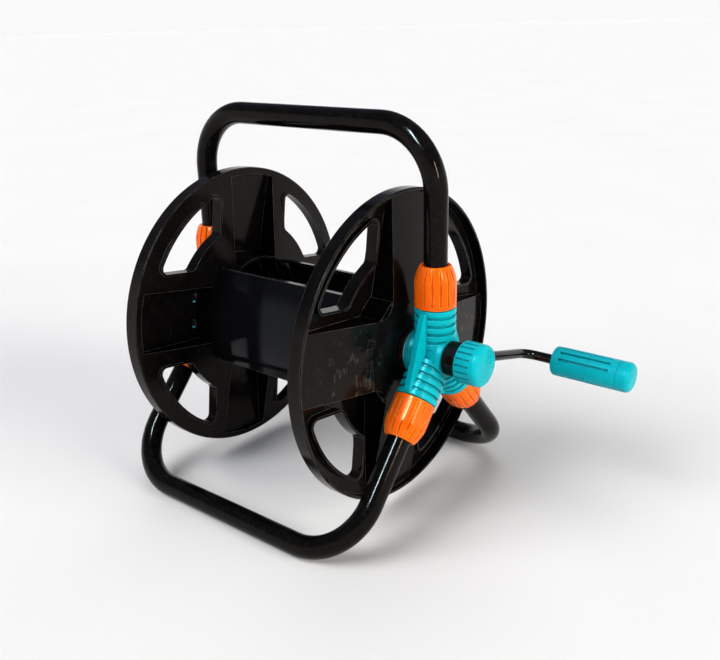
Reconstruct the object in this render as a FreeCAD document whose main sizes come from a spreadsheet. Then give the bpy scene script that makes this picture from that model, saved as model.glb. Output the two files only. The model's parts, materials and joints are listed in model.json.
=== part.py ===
import FreeCAD, Part
import math
import os
import Sketcher

# Hand-cranked garden hose reel on a three-legged tube frame.
# Frame: origin on the ground under the middle of the reel, X along the reel's axle with
# the crank at +X, Y from front foot (-Y) to rear foot (+Y), Z up. Millimetres.

V = FreeCAD.Vector
X, Y, Z = V(1, 0, 0), V(0, 1, 0), V(0, 0, 1)
doc = FreeCAD.newDocument("hose_reel")

DIMENSIONS = [
    # name, value, what it is
    ("tube_dia", 22, "frame tube outside diameter"),
    ("tube_wall", 1.2, "frame tube wall"),
    ("leg_plane", 149, "reel middle to the centre line of a tube leg"),
    ("reach", 211, "axle to the centre line of a tube's cross bar"),
    ("bend", 60, "centre line radius of the tube corners"),
    ("splay", 42, "front and rear legs from the vertical, degrees"),
    ("tube_start", 26, "axle to the tube's end inside the hub"),
    ("socket_end", 47.6, "axle to the end of a hub socket's ribs"),
    ("collar_end", 87.5, "axle to the far end of a screw collar"),
    ("collar_r", 19.5, "collar and rib radius"),
    ("spigot_r", 15.6, "threaded spigot that the collar screws on"),
    ("bush_r", 15, "outside radius of the hub bush"),
    ("journal_r", 12, "radius of the turning journal in the bush"),
    ("hub_inner", 128, "reel middle to the hub's inboard face"),
    ("hub_outer", 166, "reel middle to the hub's outboard face"),
    ("flange_r", 153, "reel flange outside radius"),
    ("flange_x", 101.3, "reel middle to the flange plate at its rim"),
    ("flange_t", 3, "flange wall"),
    ("rim_x", 116.3, "reel middle to the rim's outboard edge"),
    ("dish", 0.11, "slope of the dished flange plate"),
    ("cross_x", 109.7, "outboard face of a cross arm at the rim"),
    ("cross_w", 33, "half width of a cross arm"),
    ("cross_r", 20, "fillet where two cross arms meet"),
    ("window_v", 48.5, "arm centre plane to a window's straight side"),
    ("window_out", 135, "outer arc radius of a window"),
    ("window_in", 97, "inner arc radius of a window"),
    ("lip_x", 108.5, "outboard edge of a window's lip"),
    ("ring_r", 59.5, "ring that the drum panels sit around"),
    ("boss_r", 21, "flange centre boss radius"),
    ("flange_face", 124.5, "flange boss outboard face"),
    ("reel_phase", -8, "turn of the reel at rest, degrees"),
    ("panel_y", 64, "axle to the middle of a drum panel's outer face"),
    ("panel_curve", 103, "drum panel outer radius of curvature"),
    ("panel_half", 50, "half the height of a drum panel"),
    ("panel_t", 3, "drum panel wall"),
    ("panel_x", 89, "half the length of a drum panel"),
    ("tab_v", 14, "snap tab from the arm's centre plane"),
    ("tab_r", 60.5, "snap tab from the axle"),
    ("rod_dia", 10, "crank rod diameter"),
    ("rod_x", 174.4, "reel middle to the crank arm"),
    ("crank_r", 138, "axle to the grip's axis"),
    ("crank_angle", -15.5, "crank arm at rest above +Y, degrees"),
    ("crank_bend", 14, "centre line radius of the crank rod's corner"),
    ("grip_x", 209.8, "reel middle to the grip's inner end"),
    ("grip_len", 83, "grip length with its end cap"),
    ("grip_r", 15.3, "grip radius"),
    ("neck_r", 16.4, "crank neck radius"),
    ("neck_end", 180.4, "outboard end of the crank neck"),
    ("cap_r", 20, "clamp cap radius"),
    ("cap_len", 24, "clamp cap length"),
    ("thread_pitch", 3, "clamp cap screw pitch"),
    ("inlet_drop", 44, "axle to the tip of the inlet nipple"),
]
sheet = doc.addObject("Spreadsheet::Sheet", "dims")
for row, (name, value, note) in enumerate(DIMENSIONS, start=1):
    sheet.set(f"A{row}", note)
    sheet.set(f"B{row}", str(value))
    sheet.setAlias(f"B{row}", name)
doc.recompute()


class Size:
    """A length worked out from the sheet: its value, and the expression that binds it."""

    def __init__(self, value, text):
        self.value, self.text = value, text

    def combine(self, other, symbol, value):
        other = size(other)
        return Size(value(self.value, other.value), f"({self.text} {symbol} {other.text})")

    def __add__(self, other):
        return self.combine(other, "+", lambda a, b: a + b)

    def __sub__(self, other):
        return self.combine(other, "-", lambda a, b: a - b)

    def __mul__(self, other):
        return self.combine(other, "*", lambda a, b: a * b)

    def __truediv__(self, other):
        return self.combine(other, "/", lambda a, b: a / b)

    def __radd__(self, other):
        return size(other) + self

    def __rsub__(self, other):
        return size(other) - self

    def __rmul__(self, other):
        return size(other) * self

    def __neg__(self):
        return size(0) - self

    def __float__(self):
        return float(self.value)


def size(number):
    return number if isinstance(number, Size) else Size(number, f"{number:.6g}")


def sine(angle):
    return Size(math.sin(math.radians(float(angle))), f"sin({size(angle).text})")


def cosine(angle):
    return Size(math.cos(math.radians(float(angle))), f"cos({size(angle).text})")


class Dims:
    """The sheet's dimensions by name, as Size values."""


d = Dims()
for name, value, _ in DIMENSIONS:
    setattr(d, name, Size(value, f"dims.{name}"))

FIT = 0.1           # running clearance on a radius
GAP = 0.3           # clearance between two faces
BREAK = 0.8         # broken edge on a moulded part

tube_r = d.tube_dia / 2
axle_z = tube_r + d.reach * cosine(d.splay)     # foot bars rest on the ground
AXLE = V(0, 0, float(axle_z))


# ---- placing and binding -------------------------------------------------------------

def bind(obj, **sizes):
    for prop, value in sizes.items():
        obj.setExpression(prop, size(value).text)


def place(obj, rotation, x=0, y=0, z=0):
    """Put obj at x, y, z from the axle's middle, turned by rotation."""
    obj.Placement = FreeCAD.Placement(V(float(x), float(y), float(z)) + AXLE, rotation)
    for axis, value in (("x", size(x)), ("y", size(y)), ("z", size(z) + axle_z)):
        obj.setExpression(f"Placement.Base.{axis}", value.text)
    return obj


OUT_NEAR = FreeCAD.Rotation(Y, Z, X, "ZXY")       # local Z points to +X, local X to +Y
OUT_FAR = FreeCAD.Rotation(-Y, Z, -X, "ZXY")      # local Z points to -X, local X to -Y
PHASE = FreeCAD.Rotation(X, float(d.reel_phase))
OUTWARD = {"near": OUT_NEAR, "far": OUT_FAR}
SIGN = {"near": 1, "far": -1}
LEGS = {"handle": 0, "front": 180 - float(d.splay), "rear": float(d.splay) - 180}


def leg_turn(leg):
    """Rotation about the axle that brings +Z onto a leg's direction."""
    return FreeCAD.Rotation(X, LEGS[leg])


# ---- shape helpers ---------------------------------------------------------------------

def primitive(kind, label, **sizes):
    obj = doc.addObject(kind, label)
    obj.Label = label
    bind(obj, **sizes)
    return obj


def cylinder(label, radius, height, **where):
    """Cylinder along local Z, starting at 'start' along it."""
    obj = primitive("Part::Cylinder", label, Radius=radius, Height=height)
    start = where.get("start", 0)
    x, y = where.get("x", 0), where.get("y", 0)
    for axis, value in (("x", x), ("y", y), ("z", start)):
        obj.setExpression(f"Placement.Base.{axis}", size(value).text)
    return obj


def aimed(label, radius, start, length, rotation, lift=0):
    """Cylinder along rotation's Z axis, starting 'start' along it from height lift."""
    obj = primitive("Part::Cylinder", label, Radius=radius, Height=length)
    base = rotation.multVec(V(0, 0, float(start))) + V(0, 0, float(lift))
    obj.Placement = FreeCAD.Placement(base, rotation)
    return obj


def box(label, x_range, y_range, z_range, spin=0):
    """Box between three pairs of limits, then turned about local Z by spin degrees."""
    spans = {"Length": x_range, "Width": y_range, "Height": z_range}
    obj = primitive("Part::Box", label, **{k: size(b) - a for k, (a, b) in spans.items()})
    corner = V(float(x_range[0]), float(y_range[0]), float(z_range[0]))
    turn = FreeCAD.Placement(V(), FreeCAD.Rotation(Z, spin))
    obj.Placement = turn * FreeCAD.Placement(corner, FreeCAD.Rotation())
    return obj


def fuse(label, parts):
    obj = doc.addObject("Part::MultiFuse", label)
    obj.Label = label
    obj.Shapes = parts
    obj.Refine = not label.endswith("_cutters")
    return obj


def cut(label, base, tools):
    tool = tools[0] if len(tools) == 1 else fuse(label + "_cutters", tools)
    obj = doc.addObject("Part::Cut", label)
    obj.Label = label
    obj.Base, obj.Tool = base, tool
    return obj


def common(label, base, tool):
    obj = doc.addObject("Part::Common", label)
    obj.Label = label
    obj.Base, obj.Tool = base, tool
    return obj


def new_body(label):
    body = doc.addObject("PartDesign::Body", label)
    body.Label = label
    return body


def sketch_on(body, role, lift=0):
    plane = next(p for p in body.Origin.OriginFeatures if p.Role == role)
    sketch = body.newObject("Sketcher::SketchObject", body.Name + "_sketch")
    sketch.AttachmentSupport = [(plane, "")]
    sketch.MapMode = "FlatFace"
    if float(lift):
        sketch.setExpression("AttachmentOffset.Base.z", size(lift).text)
    return sketch


def pin_point(sketch, edge, end, x, y):
    """Fix one end of a sketch edge at x, y, bound to the sheet."""
    for kind, value in (("DistanceX", size(x)), ("DistanceY", size(y))):
        index = sketch.addConstraint(Sketcher.Constraint(kind, -1, 1, edge, end, float(value)))
        sketch.setExpression(f"Constraints[{index}]", value.text)


def hold_radius(sketch, edge, radius):
    index = sketch.addConstraint(Sketcher.Constraint("Radius", edge, float(radius)))
    sketch.setExpression(f"Constraints[{index}]", size(radius).text)


def add_arc(sketch, start, end, radius):
    """Minor arc; its centre lies left of start-to-end when radius is positive."""
    chord = end - start
    rise = math.sqrt(float(radius) ** 2 - (chord.Length / 2) ** 2)
    side = math.copysign(1, float(radius))
    left = V(-chord.y, chord.x, 0).normalize()
    centre = (start + end) / 2 + left * side * rise
    first, last = (start, end) if side > 0 else (end, start)
    angles = [math.atan2(p.y - centre.y, p.x - centre.x) for p in (first, last)]
    ring = Part.Circle(centre, Z, abs(float(radius)))
    edge = sketch.addGeometry(Part.ArcOfCircle(ring, angles[0], angles[1]), False)
    return edge, (1, 2) if side > 0 else (2, 1)


def chain(sketch, points, closed):
    """Edges through points; a third value makes the edge that arrives there an arc."""
    corners = [V(float(p[0]), float(p[1]), 0) for p in points]
    count = len(points)
    edges = []
    for i in range(count if closed else count - 1):
        j = (i + 1) % count
        if len(points[j]) == 3:
            edges.append(add_arc(sketch, corners[i], corners[j], points[j][2]))
            hold_radius(sketch, edges[-1][0], abs_size(points[j][2]))
        else:
            line = Part.LineSegment(corners[i], corners[j])
            edges.append((sketch.addGeometry(line, False), (1, 2)))
    for i, (edge, (begin, _)) in enumerate(edges):
        pin_point(sketch, edge, begin, points[i][0], points[i][1])
        before, (_, end) = edges[i - 1]
        if closed or i:
            sketch.addConstraint(Sketcher.Constraint("Coincident", before, end, edge, begin))
    if not closed:
        edge, (_, end) = edges[-1]
        pin_point(sketch, edge, end, points[-1][0], points[-1][1])


def abs_size(value):
    return value if float(value) > 0 else -size(value)


def outline(sketch, points):
    chain(sketch, points, closed=True)


def circle(sketch, radius, x=0, y=0):
    centre = V(float(x), float(y), 0)
    edge = sketch.addGeometry(Part.Circle(centre, Z, float(radius)), False)
    hold_radius(sketch, edge, radius)
    pin_point(sketch, edge, 3, x, y)


def turned(label, points):
    """Body turned about its Z axis from (radius, height) corners."""
    body = new_body(label)
    sketch = sketch_on(body, "XZ_Plane")
    outline(sketch, points)
    turn = body.newObject("PartDesign::Revolution", label + "_turn")
    turn.Profile = sketch
    turn.ReferenceAxis = (sketch, ["V_Axis"])
    turn.Angle = 360
    doc.recompute()
    return body


def prism(label, points, low, high):
    """Body with a straight-sided plan between two heights."""
    body = new_body(label)
    sketch = sketch_on(body, "XY_Plane", low)
    outline(sketch, points)
    pad = body.newObject("PartDesign::Pad", label + "_pad")
    pad.Profile = sketch
    bind(pad, Length=size(high) - low)
    doc.recompute()
    return body


def grooved(body, count, width, skin, first=0, span=360):
    """Cut evenly spaced grooves, 'width' degrees wide, where skin's corners overlap the body."""
    before = body.Shape.Volume
    sketch = sketch_on(body, "XZ_Plane")
    sketch.AttachmentOffset = FreeCAD.Placement(V(), FreeCAD.Rotation(Y, first))
    outline(sketch, skin)
    groove = body.newObject("PartDesign::Groove", body.Name + "_groove")
    groove.Profile = sketch
    groove.ReferenceAxis = (sketch, ["V_Axis"])
    groove.Midplane = True
    bind(groove, Angle=width)
    doc.recompute()
    ring = body.newObject("PartDesign::PolarPattern", body.Name + "_grooves")
    ring.Originals = [groove]
    ring.Axis = (sketch, ["V_Axis"])
    ring.Angle = span
    ring.Occurrences = count
    body.Tip = ring
    doc.recompute()
    if body.Shape.Volume >= before:
        raise RuntimeError(f"grooves cut nothing from {body.Label}")
    return body


def bent_bar(label, path, radii, start_x, start_z):
    """Round bar (or tube, with two radii) along a path in its own XZ plane."""
    body = new_body(label)
    spine = sketch_on(body, "XZ_Plane")
    chain(spine, path, closed=False)
    profile = sketch_on(body, "XY_Plane", start_z)
    for radius in radii:
        circle(profile, radius, start_x)
    sweep = body.newObject("PartDesign::AdditivePipe", label + "_sweep")
    sweep.Profile = profile
    sweep.Spine = spine
    doc.recompute()
    return body


def vertical_edges(obj):
    """Numbers of the straight edges of obj that run along Z."""
    found = []
    for number, edge in enumerate(obj.Shape.Edges, start=1):
        run = edge.lastVertex().Point - edge.firstVertex().Point
        if abs(run.x) < 1e-6 and abs(run.y) < 1e-6 and abs(run.z) > 1:
            found.append(number)
    return found


def rounded(label, base, radius, keep=lambda edge: True):
    doc.recompute()
    obj = doc.addObject("Part::Fillet", label)
    obj.Label = label
    obj.Base = base
    numbers = [n for n in vertical_edges(base) if keep(base.Shape.Edges[n - 1])]
    obj.Edges = [(n, float(radius), float(radius)) for n in numbers]
    return obj


# ---- frame tubes -------------------------------------------------------------------------

parts = []          # every finished sub-part, in order


def done(obj, label):
    obj.Label = label
    parts.append(obj)
    return obj


def frame_tube(leg):
    """U of tube: two legs out of the hubs, rounded corners and a cross bar."""
    side = d.leg_plane
    path = [(-side, d.tube_start), (-side, d.reach - d.bend),
            (d.bend - side, d.reach, -d.bend), (side - d.bend, d.reach),
            (side, d.reach - d.bend, -d.bend), (side, d.tube_start)]
    name = {"handle": "handle_tube", "front": "front_foot_tube", "rear": "rear_foot_tube"}[leg]
    tube = bent_bar(name, path, (tube_r, tube_r - d.tube_wall), -side, d.tube_start)
    done(place(tube, leg_turn(leg)), name)


for leg in LEGS:
    frame_tube(leg)


# ---- hubs: three ribbed sockets around a boss ------------------------------------------------

SPIGOT_LEN = 20
RIB_COUNT, RIB_PITCH, RIB_T = 5, 7.8, 5.2
RIB_EDGE = 0.7
CORE_R = d.collar_r - 3
HUB_FLANGE_R, HUB_FLANGE_T = 22, 4
BOSS_R = d.collar_r + 1.2
STUB_R, STUB_LEN = 16.4, 10                 # threaded neck of the far hub
NECK_BORE_R = 13.2
WEB_T, WEB_HALF = 5.5, 21.5
half_side = (180 - float(d.splay)) / 2      # half the angle between handle and foot legs
WEBS = {    # half the corner's angle, direction, and the scoop's centre and radius
    "front": (half_side, 90 + half_side, 132, 95.5),
    "rear": (half_side, 90 - half_side, 132, 95.5),
    "low": (float(d.splay), -90, 73, 31),
}


def socket(label, angle):
    """Ribbed leg socket with the plain spigot that its collar screws on."""
    points = [(0, 0), (CORE_R, 0)]
    for i in reversed(range(RIB_COUNT)):
        low = d.socket_end - RIB_T - i * RIB_PITCH
        points += [(CORE_R, low), (d.collar_r - RIB_EDGE, low), (d.collar_r, low + RIB_EDGE),
                   (d.collar_r, low + RIB_T - RIB_EDGE), (d.collar_r - RIB_EDGE, low + RIB_T)]
        points += [(CORE_R, low + RIB_T)] if i else []
    end = d.socket_end + SPIGOT_LEN
    points += [(d.spigot_r, d.socket_end), (d.spigot_r, end), (0, end)]
    body = turned(label, points)
    body.Placement.Rotation = FreeCAD.Rotation(Z, angle) * FreeCAD.Rotation(X, -90)
    return body


def socket_bore(label, angle):
    turn = FreeCAD.Rotation(Z, angle) * FreeCAD.Rotation(X, -90)
    return aimed(label, tube_r + 2 * FIT, d.tube_start - 1, d.collar_end, turn)


def web(label, half_angle, direction, centre, radius):
    """Curved web across the corner between two sockets, seen along the axle."""
    along, off = d.socket_end - 2, WEB_HALF
    c, s = cosine(half_angle), sine(half_angle)
    tip = (along * c + off * s, along * s - off * c)
    root = (along * c, along * s)
    plan = [(0, 0), (root[0], -root[1]), (tip[0], -tip[1]), tip, root]
    plate = prism(label + "_plate", plan, -WEB_T / 2, WEB_T / 2)
    scoop = cylinder(label + "_scoop", radius, 2 * WEB_T, start=-WEB_T, x=centre)
    obj = cut(label, plate, [scoop])
    obj.Placement.Rotation = FreeCAD.Rotation(Z, direction)
    return obj


def hub(side):
    name = side + "_hub"
    inner, outer = d.hub_inner - d.leg_plane, d.hub_outer - d.leg_plane
    profile = [(0, inner), (HUB_FLANGE_R, inner), (HUB_FLANGE_R, inner + HUB_FLANGE_T),
               (BOSS_R, inner + HUB_FLANGE_T + 3), (BOSS_R, outer - 4), (BOSS_R - 1.6, outer)]
    if side == "far":       # threaded neck that the inlet nut screws on
        profile += [(STUB_R, outer), (STUB_R, outer + STUB_LEN), (0, outer + STUB_LEN)]
    else:
        profile += [(0, outer)]
    boss = turned(name + "_boss", profile)
    sockets = [socket(f"{name}_{leg}_socket", turn) for leg, turn in LEGS.items()]
    bores = [socket_bore(f"{name}_{leg}_bore", turn) for leg, turn in LEGS.items()]
    bores.append(cylinder(name + "_bush_bore", d.bush_r, outer - inner, start=inner - 1))
    bores.append(cylinder(name + "_neck_bore", NECK_BORE_R, 60, start=-20))
    clear_in = STUB_R if side == "far" else 0
    bores.append(turned(name + "_facing", ring_points(clear_in, d.cap_r + 1, outer, outer + 5)))
    webs = [web(f"{name}_web_{corner}", *sizes) for corner, sizes in WEBS.items()]
    body = cut(name, fuse(name + "_solid", [boss] + sockets + webs), bores)
    done(place(body, OUTWARD[side], x=SIGN[side] * d.leg_plane), name)


BUSH_FLANGE_R, BUSH_FLANGE_T = 20, 1.8
WASHER_R, WASHER_T = 18, 1.4


def bush(side):
    """Plain bearing pressed into a hub, with a thrust flange towards the reel."""
    bore, face = d.journal_r + FIT, d.hub_inner
    profile = [(bore, face - BUSH_FLANGE_T), (BUSH_FLANGE_R, face - BUSH_FLANGE_T),
               (BUSH_FLANGE_R, face), (d.bush_r, face), (d.bush_r, d.hub_outer - 2),
               (bore, d.hub_outer - 2)]
    done(place(turned(side + "_bush", profile), OUTWARD[side]), side + "_bush")


def thrust_washer(side):
    low = d.flange_face + FIT
    profile = ring_points(d.journal_r + GAP, WASHER_R, low, low + WASHER_T)
    done(place(turned(side + "_thrust_washer", profile), OUTWARD[side]), side + "_thrust_washer")


def ring_points(inner, outer, low, high):
    return [(inner, low), (outer, low), (outer, high), (inner, high)]


COLLAR_GROOVES, COLLAR_GROOVE_W = 16, 5.4       # count, and width in degrees
COLLAR_TURN = 3                                 # first groove, degrees
COLLAR_GAP = 0.8                                # from the hub's last rib
GROOVE_DEPTH = 0.9
MOUTH_R = tube_r + 4                            # outside of the collar's far mouth


def collar(side, leg):
    """Fluted screw collar that tightens a grip ring on the tube."""
    name = f"collar_{side}_{leg}"
    low, high = d.socket_end + COLLAR_GAP, d.collar_end
    shoulder, thread_r = low + 24, d.spigot_r + 0.2
    seat = d.socket_end + SPIGOT_LEN + 2
    taper = 46                                  # radius of the shoulder's curve
    profile = [(thread_r, low), (d.collar_r - BREAK, low), (d.collar_r, low + BREAK),
               (d.collar_r, shoulder), (MOUTH_R, high - 1, taper), (tube_r + 3, high),
               (tube_r + 0.4, high), (tube_r + 0.4, high - 4), (thread_r, seat)]
    skin = [(d.collar_r - GROOVE_DEPTH, low + 3.5), (d.collar_r + 1, low + 3.5),
            (d.collar_r + 1, high + 1), (MOUTH_R - GROOVE_DEPTH, high + 1),
            (MOUTH_R - GROOVE_DEPTH, high - 1),
            (d.collar_r - GROOVE_DEPTH, shoulder, -taper)]
    body = grooved(turned(name, profile), COLLAR_GROOVES, COLLAR_GROOVE_W, skin, COLLAR_TURN)
    done(place(body, leg_turn(leg), x=SIGN[side] * d.leg_plane), name)


def grip_ring(side, leg):
    """Tapered ring that bites on the tube inside its collar, split on one side."""
    name = f"grip_ring_{side}_{leg}"
    low = d.socket_end + SPIGOT_LEN + 0.5
    high = low + 12
    wide, narrow = d.spigot_r - 0.4, tube_r + 1.2
    profile = [(tube_r + FIT, low), (wide, low), (wide, low + 1), (narrow, high),
               (tube_r + FIT, high)]
    ring = turned(name + "_ring", profile)
    gap = box(name + "_gap", (0, 20), (-1, 1), (low - 1, high + 1))
    body = cut(name, ring, [gap])
    done(place(body, leg_turn(leg), x=SIGN[side] * d.leg_plane), name)


for side in ("near", "far"):
    hub(side)
    bush(side)
    thrust_washer(side)
    for leg in LEGS:
        collar(side, leg)
        grip_ring(side, leg)


# ---- reel flanges ------------------------------------------------------------------------------

QUADRANTS = (0, 90, 180, 270)
LIP_T = 2.5
CROSS_WALL = 2.5
CROSS_RISE = 0.115          # slope of a cross arm's outboard face, rising to the middle
CROSS_TOP_R = 46            # the cross is level inside this radius
WINDOW_CORNER_R = 6
HUB_HOLE_R = 10             # inside this radius only the boss remains
BELOW, ABOVE = 50, 140      # heights clear of the whole flange, for cutting tools
TAB_T = 1.9                 # snap tab thickness
TAB_HALF_W = 3.5
DRIVE_PIN_R = 2
DRIVE_PIN_Z = 108


def plate_z(radius):
    """Inboard face of the dished plate at a radius."""
    return d.flange_x - d.dish * (d.flange_r - radius)


def cross_z(radius):
    return d.cross_x + CROSS_RISE * (d.flange_r - radius)


def window(label, quadrant, grow, low, high):
    """Window between two arms, as a solid; grow makes it larger all round."""
    outer = cylinder(label + "_outer", d.window_out + grow, high - low, start=low)
    inner = cylinder(label + "_inner", d.window_in - grow, high - low + 2, start=low - 1)
    near_side, far_side = d.window_v - grow, d.window_out + grow
    corner = box(label + "_corner", (near_side, far_side), (near_side, far_side), (low, high))
    wedge = common(label + "_wedge", cut(label + "_band", outer, [inner]), corner)
    soft = rounded(label, wedge, WINDOW_CORNER_R + grow)
    soft.Placement.Rotation = FreeCAD.Rotation(Z, quadrant)
    return soft


def cross(label, half_width, fillet, low, high):
    """Plus-shaped prism with filleted inner corners."""
    half, long = half_width, d.flange_r + 5
    bars = [box(f"{label}_bar{i}", (-a, a), (-b, b), (low, high))
            for i, (a, b) in enumerate(((long, half), (half, long)))]
    plus = fuse(label + "_plus", bars)

    def at_crossing(edge):
        point = edge.firstVertex().Point
        return math.hypot(point.x, point.y) < 1.5 * float(half_width)

    return rounded(label, plus, fillet, at_crossing)


def flange(side):
    name = side + "_flange"
    rim_in = d.flange_r - d.flange_t
    plate = turned(name + "_plate", [
        (HUB_HOLE_R, plate_z(HUB_HOLE_R)), (rim_in, plate_z(rim_in)),
        (d.flange_r - BREAK, d.flange_x),
        (d.flange_r, d.flange_x + 1), (d.flange_r, d.rim_x - 1), (d.flange_r - 1, d.rim_x),
        (rim_in + 0.6, d.rim_x), (rim_in, d.rim_x - 0.6), (rim_in, plate_z(rim_in) + d.flange_t),
        (HUB_HOLE_R, plate_z(HUB_HOLE_R) + d.flange_t)])
    crown = turned(name + "_crown", [
        (HUB_HOLE_R, plate_z(HUB_HOLE_R) + 1), (rim_in + 1, plate_z(rim_in) + 1),
        (rim_in + 1, d.cross_x), (CROSS_TOP_R, cross_z(CROSS_TOP_R)),
        (HUB_HOLE_R, cross_z(CROSS_TOP_R))])
    high_cross = cross(name + "_cross", d.cross_w, d.cross_r, BELOW, ABOVE)
    raised = common(name + "_raised", high_cross, crown)
    hollow_r = rim_in - 4
    cavity = turned(name + "_cavity", [
        (0, BELOW), (hollow_r, BELOW), (hollow_r, cross_z(hollow_r) - d.flange_t),
        (CROSS_TOP_R, cross_z(CROSS_TOP_R) - d.flange_t),
        (0, cross_z(CROSS_TOP_R) - d.flange_t)])
    inner_w = d.cross_w - CROSS_WALL
    slot = cross(name + "_slot", inner_w, d.cross_r + CROSS_WALL, BELOW, ABOVE)
    recess = common(name + "_recess", slot, cavity)
    shell = cut(name + "_shell", fuse(name + "_skin", [plate, raised]), [recess])
    ring_low = plate_z(d.ring_r) - 11
    ring = turned(name + "_ring", ring_points(
        d.ring_r - 2.5, d.ring_r, ring_low, cross_z(d.ring_r) - 1))
    boss = turned(name + "_boss", ring_points(
        d.journal_r + FIT, d.boss_r, plate_z(HUB_HOLE_R) + 3, d.flange_face))
    lips = [window(f"{name}_lip{q}", q, LIP_T, plate_z(d.window_in) + 1, d.lip_x)
            for q in QUADRANTS]
    holes = [window(f"{name}_window{q}", q, 0, BELOW, ABOVE) for q in QUADRANTS]
    holes.append(cylinder(name + "_bore", d.journal_r + FIT, ABOVE - BELOW, start=BELOW))
    holes += [box(f"{name}_tab_hole{i}", (d.tab_r - 0.6, d.tab_r + 6), (v - 4.5, v + 4.5),
                  (112, 125), spin)
              for i, (v, spin) in enumerate((v, spin) for v in (-d.tab_v, d.tab_v)
                                            for spin in (0, 180))]
    holes.append(cross_pin(name + "_pin_hole", DRIVE_PIN_R + FIT, 80))
    body = cut(name, fuse(name + "_solid", [shell, ring, boss] + lips), holes)
    done(place(body, PHASE * OUTWARD[side]), name)


def cross_pin(label, radius, length):
    """Cylinder across the axle through a flange boss, along local Y."""
    return aimed(label, radius, -length / 2, length, FreeCAD.Rotation(X, 90), DRIVE_PIN_Z)


def drive_pin(side):
    """Steel pin with chamfered ends that keys the axle to a flange."""
    name = side + "_drive_pin"
    half = d.boss_r - 0.5
    pin = turned(name, [(0, -half), (DRIVE_PIN_R - 0.5, -half), (DRIVE_PIN_R, 0.5 - half),
                        (DRIVE_PIN_R, half - 0.5), (DRIVE_PIN_R - 0.5, half), (0, half)])
    done(place(pin, PHASE, x=SIGN[side] * DRIVE_PIN_Z), name)


for side in ("near", "far"):
    flange(side)
    drive_pin(side)


# ---- drum panels ---------------------------------------------------------------------------------

PANEL_OUT = {"front": FreeCAD.Rotation(-Y, -Z, X, "ZXY"),
             "rear": FreeCAD.Rotation(Y, Z, X, "ZXY")}
PANEL_LIP_W = 7             # stiffening lip along each long edge
HOOK = 4.4                  # snap hook's reach, from the tab's inner face
HOOK_T = 2.3
RIB_PLACES = (-45, 0, 45)
TONGUE_GAP = 1.5            # each side, between a panel's tongue and the arm's walls
TONGUE_REACH_R = 68         # just beyond the tongue's outer corners, from the axle


def panel(face):
    """Curved half of the drum, with stiffening lips. At each end a tongue fills the hollow of a
    flange arm, and two snap tabs pass through the flange."""
    name = face + "_drum_panel"
    centre = d.panel_y - d.panel_curve
    long, wall = d.panel_x, d.panel_t
    tongue_half = d.cross_w - CROSS_WALL - TONGUE_GAP
    tongue_end = cross_z(TONGUE_REACH_R) - d.flange_t - GAP
    bow = cylinder(name + "_bow", d.panel_curve, 2 * tongue_end, start=-tongue_end, x=centre)
    under = cylinder(name + "_under", d.panel_curve - wall, 2 * tongue_end + 2,
                     start=-tongue_end - 1, x=centre)
    strip = box(name + "_strip", (30, 70), (-d.panel_half, d.panel_half), (-long, long))
    tongues = box(name + "_tongues", (30, 70), (-tongue_half, tongue_half),
                  (-tongue_end, tongue_end))
    skin = common(name + "_skin", cut(name + "_shell", bow, [under]),
                  fuse(name + "_outline", [strip, tongues]))
    edge_x = d.panel_y - 12.5                   # where the bowed skin meets its long edges
    lips = [box(f"{name}_lip{i}", (edge_x - PANEL_LIP_W, edge_x), sorted_pair(v, v * 0.945),
                (-long, long))
            for i, v in enumerate((-d.panel_half, d.panel_half))]
    ribs = [box(f"{name}_rib{i}", (edge_x - 1, 70), (-d.panel_half + 1, d.panel_half - 1),
                (x - 1, x + 1)) for i, x in enumerate(RIB_PLACES)]
    ribs = common(name + "_ribs", fuse(name + "_rib_set", ribs), bow)
    end = cross_z(d.tab_r) + HOOK_T + GAP
    tabs = []
    for i, v in enumerate((-d.tab_v, d.tab_v)):
        sides = (v - TAB_HALF_W, v + TAB_HALF_W)
        tabs.append(box(f"{name}_tab{i}", (d.tab_r, d.tab_r + TAB_T), sides, (-end, end)))
        for j, (low, high) in enumerate(((-end, HOOK_T - end), (end - HOOK_T, end))):
            tabs.append(box(f"{name}_hook{i}{j}", (d.tab_r, d.tab_r + HOOK), sides,
                            (low, high)))
    body = fuse(name, [skin, ribs] + lips + tabs)
    done(place(body, PHASE * PANEL_OUT[face]), name)


def sorted_pair(a, b):
    return (a, b) if float(a) < float(b) else (b, a)


for face in PANEL_OUT:
    panel(face)


# ---- axle, water way and crank -------------------------------------------------------------------

BORE_R = 6.5                # water way through the axle
SOCKET_R = 8.1              # socket for the crank neck
AXLE_NEAR = 92              # reel middle to the axle's end, in front of the crank neck
ROD_TAIL = -15.6            # axle to the crank rod's end, flush with the neck
BRANCH_R, BRANCH_LEN = 14, 20
OUTLET_TIP = 54             # axle to the tip of the outlet nipple


def turned_part(label, points, rotation, x=0, y=0, z=0):
    return done(place(turned(label, points), rotation, x, y, z), label)


def water_axle():
    """Hollow axle: water bore from the far end to the middle, crank socket at the near end."""
    name = "water_axle"
    far_end = d.hub_outer - 2
    bar = cylinder(name + "_bar", d.journal_r, far_end + AXLE_NEAR, start=-AXLE_NEAR)
    branch = aimed(name + "_branch", BRANCH_R, 0, BRANCH_LEN, FreeCAD.Rotation(X, 90))
    bores = [cylinder(name + "_bore", BORE_R, far_end + 9, start=-8),
             cylinder(name + "_socket", SOCKET_R, 40, start=-AXLE_NEAR - 1),
             cross_pin(name + "_pin_hole", DRIVE_PIN_R + FIT, 80),
             aimed(name + "_outlet", BORE_R - 0.5, 0, 30, FreeCAD.Rotation(X, 90))]
    body = cut(name, fuse(name + "_solid", [bar, branch]), bores)
    done(place(body, PHASE * OUT_FAR), name)


NIPPLE_R, NIPPLE_BORE = 8.6, 4.5
NECK_R = 7.2                # waist that the hose connector's balls drop into


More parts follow.
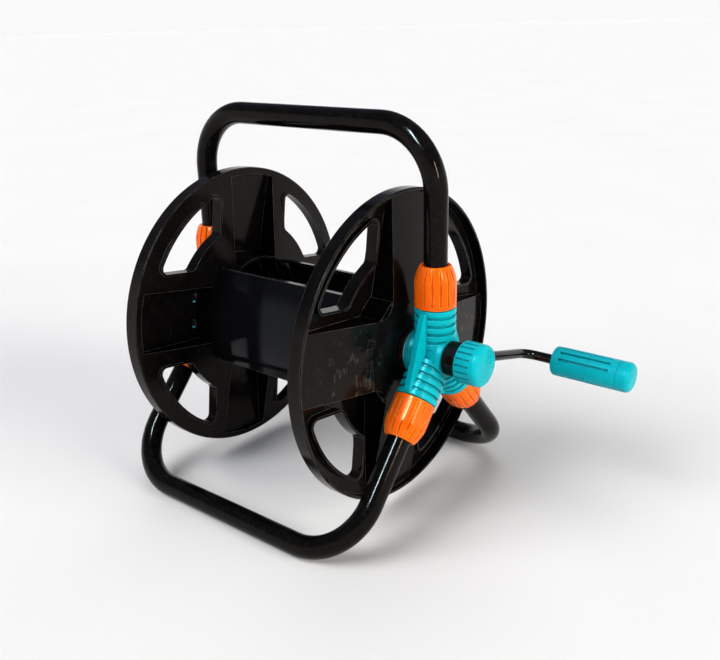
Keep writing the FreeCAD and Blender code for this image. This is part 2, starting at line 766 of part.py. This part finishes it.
def nipple_profile(base, tip):
    """Bore, collar, ball groove and nose of a push-on hose nipple."""
    nose = NECK_R + 0.2
    return [(NIPPLE_BORE, base), (NIPPLE_R, base), (NIPPLE_R, tip - 17), (NECK_R, tip - 15.5),
            (NECK_R, tip - 12), (NIPPLE_R - 0.4, tip - 10.5), (NIPPLE_R - 0.4, tip - 8),
            (nose, tip - 7), (nose, tip - 1.2), (nose - 1, tip), (NIPPLE_BORE, tip)]


def outlet_nipple():
    """Hose connection inside the drum, on the axle's branch."""
    base = BRANCH_LEN + GAP
    profile = nipple_profile(base, OUTLET_TIP)
    profile[1:2] = [(BRANCH_R, base), (BRANCH_R, base + 5), (NIPPLE_R, base + 5)]
    down = FreeCAD.Rotation(X, 180)
    turned_part("outlet_nipple", profile, PHASE * down)
    washer = ring_points(BORE_R, BRANCH_R - 1, base - 0.25, base - 0.05)
    turned_part("outlet_washer", washer, PHASE * down)


def crank_neck():
    """Turned piece that carries the crank: journal, neck, cross bore and threaded stud."""
    name = "crank_neck"
    stud_r, stud_end, tongue_end = 11, d.neck_end + 18.4, 62
    tongue_r = SOCKET_R - FIT
    profile = [(0, tongue_end), (tongue_r, tongue_end), (tongue_r, AXLE_NEAR + 0.2),
               (d.journal_r, AXLE_NEAR + 0.2), (d.journal_r, d.hub_outer + 0.4),
               (d.neck_r, d.hub_outer + 0.4), (d.neck_r, d.neck_end), (stud_r, d.neck_end),
               (stud_r, stud_end), (0, stud_end)]
    arm = FreeCAD.Rotation(Z, float(d.crank_angle) - float(d.reel_phase))
    rod_hole = aimed(name + "_rod_hole", d.rod_dia / 2 + FIT, -30, 60,
                     arm * FreeCAD.Rotation(Y, 90), d.rod_x)
    tools = [rod_hole, cylinder(name + "_pad_bore", PAD_R + FIT, 40, start=d.rod_x),
             cross_pin(name + "_pin_hole", DRIVE_PIN_R + FIT, 80)]
    body = cut(name, turned(name + "_turned", profile), tools)
    done(place(body, PHASE * OUT_NEAR), name)


PAD_R = 6
CAP_BORE_R = 11.3            # thread core of the clamp cap
CAP_GROOVES, CAP_GROOVE_W, CAP_GROOVE_DEPTH = 20, 5.5, 1.3      # count, degrees, mm
CAP_TURN = 7                 # first groove, degrees
GATE_R = 1.5                 # flat moulding-gate spot in the middle of a domed cap


def cap_skin(start, length):
    """Corners of a cap's grooves, from start along its side."""
    inner, outer = d.cap_r - CAP_GROOVE_DEPTH, d.cap_r + 1
    return [(inner, start), (outer, start), (outer, start + length), (inner, start + length)]


def clamp():
    """Screw cap and the pad that it presses on the crank rod."""
    pad_low = d.rod_x + d.rod_dia / 2 + GAP
    pad_high = d.neck_end + 19.2
    pad = [(0, pad_low), (PAD_R - 0.5, pad_low), (PAD_R, pad_low + 0.5), (PAD_R, pad_high),
           (0, pad_high)]
    turned_part("clamp_pad", pad, OUT_NEAR)
    low = d.neck_end + 0.5
    high = low + d.cap_len
    floor = pad_high + GAP
    crown = 170                                  # radius of the slightly domed face
    cap = [(0, floor), (CAP_BORE_R, floor), (CAP_BORE_R, low), (d.cap_r - BREAK, low),
           (d.cap_r, low + BREAK), (d.cap_r, high - 5), (d.cap_r - 4, high - 0.8, 4.6),
           (GATE_R, high, crown), (0, high)]
    body = grooved(turned("clamp_cap", cap), CAP_GROOVES, CAP_GROOVE_W,
                   cap_skin(low + 1.5, 14.5), CAP_TURN)
    done(place(body, OUT_NEAR), "clamp_cap")


SPINDLE_END = d.grip_x + d.grip_len - 9
CLIP_R = 8
SLOT_W, SLOT_DEPTH = 10.5, 2.6       # grip slot width in degrees, and depth
SLOT_GROUPS = (61, 241)              # first slot of each group of four, degrees
SLOTS, SLOT_SPREAD = 4, 90


def crank_rod():
    """L-shaped steel rod: arm through the neck, corner, and the grip's spindle."""
    spindle = SPINDLE_END - d.rod_x
    path = [(0, ROD_TAIL), (0, d.crank_r - d.crank_bend),
            (d.crank_bend, d.crank_r, -d.crank_bend), (spindle, d.crank_r)]
    rod = bent_bar("crank_rod", path, (d.rod_dia / 2,), 0, ROD_TAIL)
    turn = FreeCAD.Rotation(X, float(d.crank_angle) - 90)
    done(place(rod, turn, x=d.rod_x), "crank_rod")


def grip():
    """Slotted hand grip, its end cap, and the clip that keeps them on the rod."""
    at = {"y": d.crank_r * cosine(d.crank_angle), "z": d.crank_r * sine(d.crank_angle)}
    low, high = d.grip_x, d.grip_x + d.grip_len - 14
    bore = d.rod_dia / 2 + FIT
    sleeve = [(bore, low), (d.grip_r - 2, low), (d.grip_r, low + 2, 2.2), (d.grip_r, high),
              (bore, high)]
    slot_low, slot_high = low + 8.5, low + 61
    skin = [(d.grip_r - SLOT_DEPTH, slot_low), (d.grip_r + 1, slot_low),
            (d.grip_r + 1, slot_high), (d.grip_r - SLOT_DEPTH, slot_high)]
    body = turned("crank_grip", sleeve)
    for first in SLOT_GROUPS:
        grooved(body, SLOTS, SLOT_W, skin, first, SLOT_SPREAD)
    done(place(body, OUT_NEAR, **at), "crank_grip")
    clip = ring_points(bore - FIT / 2, CLIP_R, high + 0.4, high + 1.6)
    turned_part("rod_clip", clip, OUT_NEAR, **at)
    end = low + d.grip_len
    pocket = CLIP_R + 2
    cap = [(0, SPINDLE_END + 0.5), (pocket, SPINDLE_END + 0.5), (pocket, high),
           (d.grip_r - 0.5, high), (d.grip_r - 0.5, high + BREAK), (d.grip_r, high + BREAK),
           (d.grip_r, end - 6), (d.grip_r - 5, end - 1, 5.6), (GATE_R, end, 50), (0, end)]
    turned_part("grip_end_cap", cap, OUT_NEAR, **at)


water_axle()
outlet_nipple()
crank_neck()
clamp()
crank_rod()
grip()


# ---- water inlet on the far side ------------------------------------------------------------------

PLUG_R = BORE_R - 0.15
PLUG_LEN = 26
ELBOW_R = 9
SEAT = d.hub_outer + STUB_LEN        # end of the far hub's threaded neck
SEAT_FLANGE_R, SEAT_FLANGE_T = 15.6, 3
ELBOW_X = SEAT + 24
DROP_FLANGE_R, DROP_BASE = 10.6, 13      # stop flange above the inlet nipple
ELBOW_BORE = 4
RING_WIRE = 0.7
SEAL_Z = (d.hub_outer - 20, d.hub_outer - 12)


def inlet_elbow():
    """Swivelling elbow: sealed plug in the axle, flange under the nut, nipple pointing down."""
    name = "inlet_elbow"
    plug = turned(name + "_plug", [
        (0, d.hub_outer - PLUG_LEN), (PLUG_R - 0.6, d.hub_outer - PLUG_LEN),
        (PLUG_R, d.hub_outer - PLUG_LEN + 1), (PLUG_R, d.hub_outer - 1.5),
        (NECK_BORE_R - 0.4, d.hub_outer - 1.5), (NECK_BORE_R - 0.4, SEAT + GAP),
        (SEAT_FLANGE_R, SEAT + GAP), (SEAT_FLANGE_R, SEAT + SEAT_FLANGE_T),
        (ELBOW_R, SEAT + SEAT_FLANGE_T), (ELBOW_R, ELBOW_X), (0, ELBOW_X)])
    ball = primitive("Part::Sphere", name + "_ball", Radius=ELBOW_R)
    ball.setExpression("Placement.Base.z", size(ELBOW_X).text)
    nipple = nipple_profile(DROP_BASE, d.inlet_drop)[1:-1]
    drop = turned(name + "_drop", [
        (0, 0), (ELBOW_R - 0.4, 0), (ELBOW_R - 0.4, DROP_BASE - 3),
        (DROP_FLANGE_R, DROP_BASE - 3), (DROP_FLANGE_R, DROP_BASE)] + nipple
        + [(0, d.inlet_drop)])
    drop.Placement = FreeCAD.Placement(V(0, 0, float(ELBOW_X)), FreeCAD.Rotation(X, 90))
    bore = cylinder(name + "_bore", ELBOW_BORE, ELBOW_X - d.hub_outer + PLUG_LEN + 2,
                    start=d.hub_outer - PLUG_LEN - 2)
    tap = aimed(name + "_tap", ELBOW_BORE, 0, d.inlet_drop + 5, FreeCAD.Rotation(X, 90), ELBOW_X)
    grooves = [turned(f"{name}_groove{i}", ring_points(
        PLUG_R - 2 * RING_WIRE, PLUG_R + 1, z - 0.9, z + 0.9)) for i, z in enumerate(SEAL_Z)]
    body = cut(name, fuse(name + "_solid", [plug, ball, drop]), [bore, tap] + grooves)
    done(place(body, OUT_FAR), name)


def o_rings():
    """Two rubber rings that seal the elbow's plug in the turning axle."""
    name = "inlet_o_rings"
    rings = []
    for i, z in enumerate(SEAL_Z):
        ring = primitive("Part::Torus", f"{name}_{i}", Radius1=PLUG_R - RING_WIRE + FIT / 2,
                         Radius2=RING_WIRE)
        ring.setExpression("Placement.Base.z", z.text)
        rings.append(ring)
    holder = doc.addObject("Part::Compound", name)
    holder.Links = rings
    done(place(holder, OUT_FAR), name)


def inlet_nut():
    """Fluted union nut that holds the elbow on the far hub."""
    low, high = d.hub_outer + 0.6, SEAT + 8
    lip = SEAT + SEAT_FLANGE_T + GAP
    thread_r, mouth_r = STUB_R + GAP, ELBOW_R + 0.4
    profile = [(thread_r, low), (d.cap_r - BREAK, low), (d.cap_r, low + BREAK),
               (d.cap_r, high - 3), (d.cap_r - 3, high, 3.2), (mouth_r, high), (mouth_r, lip),
               (thread_r, lip)]
    body = grooved(turned("inlet_nut", profile), CAP_GROOVES, CAP_GROOVE_W,
                   cap_skin(low + 1.5, 11))
    done(place(body, OUT_FAR), "inlet_nut")


inlet_elbow()
o_rings()
inlet_nut()


# ---- check and write -----------------------------------------------------------------------------

doc.recompute()
for obj in doc.Objects:
    if "Invalid" in obj.State or "Error" in obj.State:
        raise RuntimeError(f"{obj.Label} failed: {obj.State}")
os.makedirs("parts", exist_ok=True)
for obj in parts:
    shape = obj.Shape
    if shape.isNull() or not shape.isValid() or not shape.Solids:
        raise RuntimeError(f"{obj.Label} has no valid solid")
    shape.exportStep(f"parts/{obj.Label}.step")
    limits = shape.BoundBox
    print(f"{obj.Label:24s} solids {len(shape.Solids)} volume {shape.Volume / 1000:8.1f} cm3 "
          f"x {limits.XMin:7.1f} {limits.XMax:7.1f} y {limits.YMin:7.1f} {limits.YMax:7.1f} "
          f"z {limits.ZMin:7.1f} {limits.ZMax:7.1f}")
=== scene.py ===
"""Garden hose reel stand: surfaces, fine detail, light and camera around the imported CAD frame."""

import json
import math

import bmesh
import bpy
from mathutils import Matrix, Vector

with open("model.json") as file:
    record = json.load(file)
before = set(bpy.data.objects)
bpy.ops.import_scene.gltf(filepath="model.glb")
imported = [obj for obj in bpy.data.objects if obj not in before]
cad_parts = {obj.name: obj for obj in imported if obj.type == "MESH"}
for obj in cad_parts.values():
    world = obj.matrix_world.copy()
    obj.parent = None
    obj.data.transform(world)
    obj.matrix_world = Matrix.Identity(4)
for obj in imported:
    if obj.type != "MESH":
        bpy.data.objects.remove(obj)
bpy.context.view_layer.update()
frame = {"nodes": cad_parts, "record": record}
nodes = frame["nodes"]

MM = 0.001
REEL_MIDDLE = Vector((0.04, 0, 0.17))
PHOTO_AZIMUTH, PHOTO_ELEVATION, PHOTO_ROLL = 38.90, 20.33, -1.478
PHOTO_EYE = Vector((0.5575, -0.6179, 0.4671))
PHOTO_LENS, PHOTO_SENSOR = 42.15, 36.0
NEAR_TAB_HOLES = ((0.122, -0.088, 0.160), (0.122, 0.098, 0.155))
WARM = (1.0, 0.86, 0.74, 1)


# ---- shader graphs ------------------------------------------------------------------------------


class Graph:
    """One material's node tree, written as calls that return output sockets."""

    def __init__(self, name):
        self.material = bpy.data.materials.new(name)
        self.material.use_nodes = True
        self.tree = self.material.node_tree
        self.tree.nodes.clear()
        self.place = self.out("ShaderNodeTexCoord", "Object")

    def node(self, kind, settings=None, **sockets):
        """New node. Sockets go by name, or by number as _0, and take a value or a link."""
        made = self.tree.nodes.new(kind)
        for key, value in (settings or {}).items():
            setattr(made, key, value)
        for key, value in sockets.items():
            socket = made.inputs[int(key[1:])] if key[0] == "_" and key[1:].isdigit() \
                else made.inputs[key.replace("_", " ")]
            if isinstance(value, bpy.types.NodeSocket):
                self.tree.links.new(value, socket)
            else:
                socket.default_value = value
        return made

    def out(self, kind, output=0, settings=None, **sockets):
        return self.node(kind, settings, **sockets).outputs[output]

    def math(self, operation, a, b=0.0, clamp=False):
        return self.out("ShaderNodeMath", 0, {"operation": operation, "use_clamp": clamp},
                        _0=a, _1=b)

    def scaled(self, x, y, z):
        return self.out("ShaderNodeVectorMath", 0, {"operation": "MULTIPLY"},
                        _0=self.place, _1=(x, y, z))

    def turned(self, rotation, x, y, z):
        return self.out("ShaderNodeMapping", 0, {"vector_type": "POINT"}, Vector=self.place,
                        Rotation=rotation, Scale=(x, y, z))

    def noise(self, scale, detail=3.0, rough=0.55, vector=None, distortion=0.0):
        return self.out("ShaderNodeTexNoise", 0, None, Vector=vector or self.place, Scale=scale,
                        Detail=detail, Roughness=rough, Distortion=distortion)

    def span(self, value, low, high, to_low=0.0, to_high=1.0, smooth=True):
        kind = {"interpolation_type": "SMOOTHSTEP" if smooth else "LINEAR", "clamp": True}
        return self.out("ShaderNodeMapRange", 0, kind, _0=value, _1=low, _2=high, _3=to_low,
                        _4=to_high)

    def mix(self, factor, a, b):
        return self.out("ShaderNodeMix", 2, {"data_type": "RGBA"}, _0=factor, _6=a, _7=b)

    def rounded(self, radius):
        """Normal of the surface as if its edges were rounded, and how near an edge is (0 to 1)."""
        soft = self.out("ShaderNodeBevel", 0, {"samples": 4}, Radius=radius)
        flat = self.out("ShaderNodeNewGeometry", "Normal")
        dot = self.out("ShaderNodeVectorMath", "Value", {"operation": "DOT_PRODUCT"},
                       _0=soft, _1=flat)
        return soft, self.span(dot, 0.995, 0.85)

    def occlusion_shade(self, reach):
        """Painted shade mask from ambient occlusion: 1 on open surface, falling towards 0 in
        grooves and corners narrower than reach.
        """
        seen = self.out("ShaderNodeAmbientOcclusion", "AO", {"samples": 6, "only_local": True},
                        Distance=reach)
        return self.span(seen, 0.35, 0.92)

    def zone(self, centres, radius):
        """1 near any of the points, fading to 0 at radius."""
        inside = 0.0
        for centre in centres:
            apart = self.out("ShaderNodeVectorMath", "Value", {"operation": "DISTANCE"},
                             _0=self.place, _1=centre)
            inside = self.math("MAXIMUM", inside, self.span(apart, radius, 0.3 * radius))
        return inside

    def bump(self, height, distance, strength, normal):
        return self.out("ShaderNodeBump", 0, None, Strength=strength, Distance=distance,
                        Height=height, Normal=normal)

    def finish(self, **sockets):
        shader = self.node("ShaderNodeBsdfPrincipled", None, **sockets)
        output = self.node("ShaderNodeOutputMaterial")
        self.tree.links.new(shader.outputs[0], output.inputs[0])
        return self.material


def rgb(red, green, blue):
    """Linear colour from the 0 to 255 values of a display."""
    def linear(v):
        v /= 255
        return v / 12.92 if v <= 0.04045 else ((v + 0.055) / 1.055) ** 2.4
    return (linear(red), linear(green), linear(blue), 1.0)


def scratches(g, scale, rotation, width):
    """Fine straight broken lines: stretched noise, kept only near its middle value."""
    lines = g.noise(1.0, 0.0, 0.5, g.turned(rotation, scale, scale, 0.03 * scale))
    near = g.math("ABSOLUTE", g.math("SUBTRACT", lines, 0.5))
    broken = g.span(g.noise(95, 1.0), 0.54, 0.62)
    return g.math("MULTIPLY", g.span(near, width, 0.3 * width), broken, True)


def gloss_paint(name, chips, shine_level=0.11):
    """Black stove enamel on steel tube: deep gloss, faint orange peel, dust and worn edges."""
    g = Graph(name)
    normal, edge = g.rounded(0.5 * MM)
    dust = g.span(g.noise(55, 5.0, 0.7), 0.45, 0.8)
    rub = g.span(g.noise(210, 4.0, 0.6), 0.5, 0.72)
    pale_edge = g.math("MULTIPLY", edge, g.span(g.noise(320, 3.0), 0.45, 0.6), True)
    colour = g.mix(dust, (0.0016, 0.0015, 0.0014, 1), (0.0048, 0.0043, 0.0038, 1))
    colour = g.mix(g.math("MULTIPLY", rub, 0.35), colour, (0.010, 0.009, 0.008, 1))
    colour = g.mix(g.math("MULTIPLY", pale_edge, chips), colour, (0.10, 0.09, 0.08, 1))
    rough = g.span(g.noise(34, 4.0, 0.65), 0.3, 0.75, 0.07, 0.17)
    rough = g.math("ADD", rough, g.math("MULTIPLY", pale_edge, 0.25), True)
    peel = g.math("ADD", g.noise(420, 2.0), g.math("MULTIPLY", g.noise(90, 2.0), 1.6))
    return g.finish(Base_Color=colour, Roughness=rough, IOR=1.5, Specular_IOR_Level=shine_level,
                    Specular_Tint=WARM, Normal=g.bump(peel, 0.25 * MM, 0.06, normal))


def moulded(name, deep, pale, edge_highlight_and_wear_tint, rough, mottle, shine_level=0.25, edge_width=0.6,
            groove=0.45, reach=2, shine_tint=(1, 1, 1, 1), worn_spot=None):
    """Injection-moulded plastic: flow mottling, fine grain, rounded edges with a painted
    highlight and light rub wear, random dirt, painted shade in the grooves, and scratches
    and pits where worn_spot says that things knock it.

    rough is (glossiest, dullest), edge_width and reach are in mm, mottle is a noise scale and
    worn_spot is (centres, radius) in metres."""
    g = Graph(name)
    normal, edge = g.rounded(edge_width * MM)
    flow = g.span(g.noise(mottle, 4.0, 0.6, distortion=0.6), 0.3, 0.7)
    grime = g.span(g.noise(120, 5.0, 0.7), 0.48, 0.8)
    knocked = g.zone(*worn_spot) if worn_spot else 0.0
    rub = g.math("ADD", g.span(g.noise(90, 3.0, 0.6), 0.30, 0.55), knocked)
    # Edge mask for a painted highlight along the rounded edges, broken up by rub wear and knocks.
    pale_edge = g.math("MULTIPLY", edge, rub, True)
    # Darker tone shared by the random dirt and the painted shade in the grooves.
    dirt_and_shade_colour = tuple(groove * c for c in deep[:3]) + (1,)
    colour = g.mix(flow, deep, pale)
    colour = g.mix(g.math("MULTIPLY", grime, 0.16), colour, dirt_and_shade_colour)
    # Painted shade: grooves and corners narrower than reach are darkened by ambient occlusion.
    colour = g.mix(g.occlusion_shade(reach * MM), dirt_and_shade_colour, colour)
    # Painted edge highlight with rub wear: edges turn towards the pale edge tint.
    colour = g.mix(g.math("MULTIPLY", pale_edge, 0.7), colour, edge_highlight_and_wear_tint)
    shine = g.span(g.noise(47, 4.0, 0.6), 0.3, 0.75, rough[0], rough[1])
    grain = g.math("ADD", g.noise(900, 2.0), g.math("MULTIPLY", g.noise(150, 3.0), 1.2))
    if worn_spot:
        here = g.math("ADD", g.math("MULTIPLY", knocked, 0.38), 0.02)
        lines = g.math("MAXIMUM", scratches(g, 900, (1.0, 0.2, 0.3), 0.03),
                       scratches(g, 800, (-1.1, 0.1, 0.2), 0.03))
        pits = g.span(g.noise(380, 1.0, 0.4), 0.78, 0.81)
        marks = g.math("MULTIPLY", g.math("MAXIMUM", lines, pits), here, True)
        shine = g.math("ADD", shine, g.math("MULTIPLY", marks, 0.3), True)
        colour = g.mix(g.math("MULTIPLY", marks, 0.7), colour, edge_highlight_and_wear_tint)
        grain = g.math("SUBTRACT", grain, marks)
    shine = g.math("ADD", shine, g.math("MULTIPLY", pale_edge, 0.12), True)
    return g.finish(Base_Color=colour, Roughness=shine, IOR=1.5,
                    Specular_IOR_Level=shine_level, Specular_Tint=shine_tint,
                    Normal=g.bump(grain, 0.12 * MM, 0.12, normal))


def plated_steel(name):
    """Zinc-plated wire: fine drawing lines and dull spots."""
    g = Graph(name)
    normal, edge = g.rounded(0.2 * MM)
    spots = g.span(g.noise(240, 4.0, 0.65), 0.4, 0.75)
    colour = g.mix(spots, (0.62, 0.63, 0.65, 1), (0.36, 0.35, 0.34, 1))
    colour = g.mix(g.math("MULTIPLY", edge, 0.4), colour, (0.8, 0.8, 0.8, 1))
    drawn = g.noise(1.0, 2.0, 0.5, g.scaled(160, 2400, 2400))
    rough = g.math("ADD", g.span(spots, 0, 1, 0.22, 0.42), g.math("MULTIPLY", drawn, 0.1), True)
    return g.finish(Base_Color=colour, Metallic=1.0, Roughness=rough,
                    Normal=g.bump(drawn, 0.05 * MM, 0.2, normal))


# The third colour of each moulded plastic is its edge tint: a painted edge highlight mixed with rub
# wear, also used for scratch marks.
MATERIALS = {
    "black_gloss_paint": gloss_paint("tube_enamel", 0.22),
    "black_rod_paint": gloss_paint("rod_enamel", 0.3, 0.32),
    "teal_plastic": moulded("teal_polypropylene", rgb(0, 154, 166), rgb(2, 168, 179),
                            rgb(50, 216, 226), (0.24, 0.38), 26, shine_level=0.2,
                            shine_tint=(0.25, 0.95, 1, 1), groove=0.4),
    "orange_plastic": moulded("orange_polypropylene", rgb(246, 83, 0), rgb(250, 98, 0),
                              rgb(255, 196, 60), (0.16, 0.30), 22, shine_level=0.32,
                              edge_width=0.9, groove=0.5, reach=3,
                              shine_tint=(1.0, 0.72, 0.30, 1)),
    "white_nylon": moulded("natural_nylon", rgb(200, 197, 186), rgb(220, 218, 208),
                           rgb(240, 239, 234), (0.34, 0.5), 40, edge_width=0.3, groove=0.7),
    "bright_steel": plated_steel("plated_steel"),
    "seal_rubber": moulded("nitrile_rubber", (0.012, 0.012, 0.012, 1), (0.022, 0.021, 0.02, 1),
                           (0.05, 0.05, 0.05, 1), (0.5, 0.75), 60, edge_width=0.2),
    "black_fitting_plastic": moulded("black_acetal", (0.0015, 0.0016, 0.0018, 1),
                                     (0.0042, 0.0043, 0.0047, 1), (0.09, 0.09, 0.095, 1),
                                     (0.28, 0.42), 45, shine_level=0.12, edge_width=0.4),
    "black_reel_plastic": moulded("black_reel_styrene", (0.0016, 0.0015, 0.0015, 1),
                                  (0.0042, 0.0035, 0.0031, 1), (0.24, 0.21, 0.18, 1),
                                  (0.10, 0.20), 14, shine_level=0.11, edge_width=0.5,
                                  shine_tint=WARM, worn_spot=(NEAR_TAB_HOLES, 0.055)),
}
DRUM = moulded("black_drum_styrene", (0.0014, 0.0015, 0.0018, 1), (0.0030, 0.0031, 0.0036, 1),
               (0.20, 0.19, 0.18, 1), (0.07, 0.15), 11, shine_level=0.12, edge_width=0.5,
               shine_tint=(0.80, 0.88, 1.0, 1))
for part in frame["record"]["subparts"]:
    mesh = nodes[part["node"]].data
    mesh.materials.clear()
    drum = part["node"].endswith("_drum_panel")
    mesh.materials.append(DRUM if drum else MATERIALS[part["material_slot"]])


# ---- studio -------------------------------------------------------------------------------------


def studio_floor():
    """Round pale floor that runs far out on every side."""
    g = Graph("studio_floor")
    tone = g.span(g.noise(3.0, 4.0), 0.3, 0.7)
    colour = g.mix(tone, (0.706, 0.690, 0.671, 1), (0.720, 0.705, 0.685, 1))
    rough = g.span(g.noise(25, 3.0), 0.3, 0.7, 0.75, 0.9)
    surface = g.finish(Base_Color=colour, Roughness=rough, Specular_IOR_Level=0.0)
    work = bmesh.new()
    count = 96
    rings = [[work.verts.new((radius * math.cos(2 * math.pi * k / count),
                              radius * math.sin(2 * math.pi * k / count), 0))
              for k in range(count)] for radius in (0.6, 2.5, 12.0, 60.0)]
    middle = work.verts.new((0, 0, 0))
    for k in range(count):
        work.faces.new((middle, rings[0][k], rings[0][(k + 1) % count]))
    for inner, outer in zip(rings, rings[1:]):
        for k in range(count):
            work.faces.new((inner[k], outer[k], outer[(k + 1) % count], inner[(k + 1) % count]))
    mesh = bpy.data.meshes.new("studio_floor")
    work.to_mesh(mesh)
    work.free()
    mesh.materials.append(surface)
    floor = bpy.data.objects.new("studio_floor", mesh)
    bpy.context.scene.collection.objects.link(floor)


def away(azimuth, elevation):
    """Direction from the reel. Azimuth 0 is towards -Y, and 90 towards +X."""
    a, e = math.radians(azimuth), math.radians(elevation)
    return Vector((math.sin(a) * math.cos(e), -math.cos(a) * math.cos(e), math.sin(e)))


def lamp(name, light, azimuth, elevation, distance, tint):
    light.color = tint
    made = bpy.data.objects.new(name, light)
    towards = away(azimuth, elevation)
    made.location = REEL_MIDDLE + towards * distance
    made.rotation_euler = towards.to_track_quat("Z", "Y").to_euler()
    bpy.context.scene.collection.objects.link(made)
    return made


def softbox(name, azimuth, elevation, distance, width, height, power, tint=(1, 1, 1)):
    """Panel light kept for highlights on gloss: it adds nothing to matt surfaces."""
    light = bpy.data.lights.new(name, "AREA")
    light.shape = "RECTANGLE"
    light.size, light.size_y = width, height
    light.energy = power
    lamp(name, light, azimuth, elevation, distance, tint).visible_diffuse = False


def daylight(name, azimuth, elevation, spread, strength, tint=(1, 1, 1)):
    """Even light over the whole floor, from a disc 'spread' degrees wide, kept out of gloss."""
    light = bpy.data.lights.new(name, "SUN")
    light.angle = math.radians(spread)
    light.energy = strength
    lamp(name, light, azimuth, elevation, 3.0, tint).visible_glossy = False


def sky():
    """World light by height of direction: white near the horizon, deep blue overhead."""
    world = bpy.data.worlds.new("studio_world")
    bpy.context.scene.world = world
    world.use_nodes = True
    tree = world.node_tree
    tree.nodes.clear()
    place = tree.nodes.new("ShaderNodeTexCoord")
    split = tree.nodes.new("ShaderNodeSeparateXYZ")
    ramp = tree.nodes.new("ShaderNodeValToRGB")
    stops = ramp.color_ramp.elements
    stops[0].position, stops[0].color = 0.20, (0.955, 0.955, 0.955, 1)
    stops[1].position, stops[1].color = 0.42, (0.15, 0.17, 0.24, 1)
    back = tree.nodes.new("ShaderNodeBackground")
    output = tree.nodes.new("ShaderNodeOutputWorld")
    tree.links.new(place.outputs["Generated"], split.inputs[0])
    tree.links.new(split.outputs[2], ramp.inputs[0])
    tree.links.new(ramp.outputs[0], back.inputs[0])
    tree.links.new(back.outputs[0], output.inputs[0])


studio_floor()
sky()
daylight("top_light", -150, 60, 40, 0.75)
daylight("key_light", 95, 15, 34, 3.3, (1.0, 0.97, 0.87))
daylight("fill_light", -26, 45, 40, 2.9, (0.985, 1.0, 1.02))
softbox("window_front", 13, 49, 1.7, 0.075, 0.65, 75, (0.55, 0.80, 1.0))
softbox("lamp_right", 74, 25, 1.7, 0.10, 0.5, 11, (1.0, 0.84, 0.66))


# ---- camera -------------------------------------------------------------------------------------


def camera():
    """The photograph's view: 42 mm lens on a 36 mm wide frame, 20 degrees above the horizon."""
    azimuth, roll = math.radians(PHOTO_AZIMUTH), math.radians(PHOTO_ROLL)
    back = away(PHOTO_AZIMUTH, PHOTO_ELEVATION)
    level = Vector((math.cos(azimuth), math.sin(azimuth), 0))
    upright = back.cross(level)
    right = level * math.cos(roll) + upright * math.sin(roll)
    up = upright * math.cos(roll) - level * math.sin(roll)
    data = bpy.data.cameras.new("photo_view")
    data.lens = PHOTO_LENS
    data.sensor_width = PHOTO_SENSOR
    data.clip_start, data.clip_end = 0.02, 50
    eye = bpy.data.objects.new("photo_view", data)
    matrix = Matrix((right, up, back)).transposed().to_4x4()
    matrix.translation = PHOTO_EYE
    eye.matrix_world = matrix
    bpy.context.scene.collection.objects.link(eye)
    bpy.context.scene.camera = eye


camera()
bpy.context.scene.view_settings.view_transform = "Standard"
bpy.context.scene.view_settings.look = "None"
